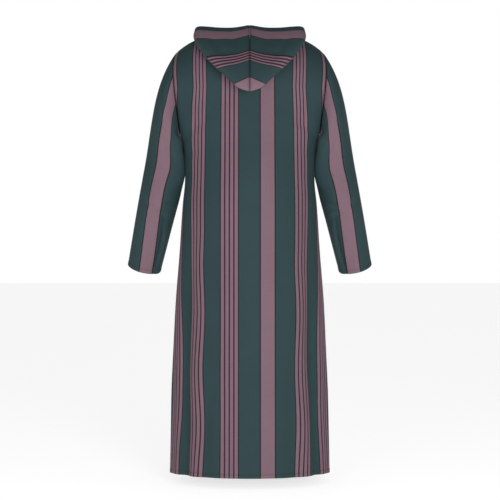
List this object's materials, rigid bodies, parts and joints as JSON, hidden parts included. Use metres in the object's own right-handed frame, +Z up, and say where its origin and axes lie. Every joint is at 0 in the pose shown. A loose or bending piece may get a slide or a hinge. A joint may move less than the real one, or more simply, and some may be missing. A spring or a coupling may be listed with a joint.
{
  "type": "hooded striped thobe, worn form with no wearer",
  "caption": "Ankle-length hooded thobe in green cloth with mauve stripes, filled out as worn, hood lying on the back.",
  "frame": {"origin": "middle of the neck opening, level with the neck ends of the shoulder seams, where the wearer's neck and shoulders hold the garment", "axes": "+Z up, +X to the wearer's left, +Y behind the wearer"},
  "size_m": [0.756, 0.3769, 1.3493],
  "materials": {
    "body_cloth": "matte",
    "sleeve_cloth": "matte",
    "hood_cloth": "matte"
  },
  "bodies": {
    "root": {"body_back": "body_cloth", "body_front": "body_cloth", "sleeve_left": "sleeve_cloth", "sleeve_right": "sleeve_cloth", "hood_left": "hood_cloth", "hood_right": "hood_cloth"}
  },
  "joints": []
}
